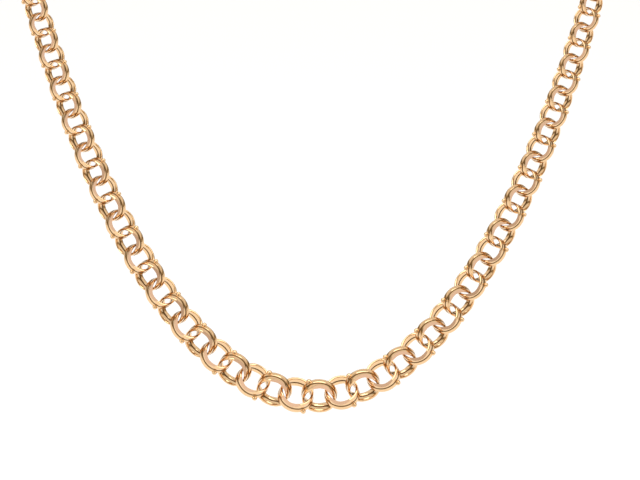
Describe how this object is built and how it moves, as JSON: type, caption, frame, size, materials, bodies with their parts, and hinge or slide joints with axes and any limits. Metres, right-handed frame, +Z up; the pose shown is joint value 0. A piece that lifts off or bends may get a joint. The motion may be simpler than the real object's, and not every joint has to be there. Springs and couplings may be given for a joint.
{
  "type": "graduated double-ring link necklace chain",
  "caption": "Neck chain of interlocked double rings with small solder beads, largest at the front centre, closed at the nape by a barrel clasp.",
  "frame": {"origin": "middle of the neck opening, level with the nape, where the necklace sits on the neck", "axes": "+Z up, -Y towards the front of the wearer, +X to the right as seen from the front"},
  "size_m": [0.1438, 0.1076, 0.1143],
  "materials": {
    "rose_gold": "polished"
  },
  "bodies": {
    "root": {"chain_left": "rose_gold", "chain_right": "rose_gold", "end_ring_left": "rose_gold", "end_ring_right": "rose_gold", "clasp": "rose_gold"}
  },
  "joints": []
}
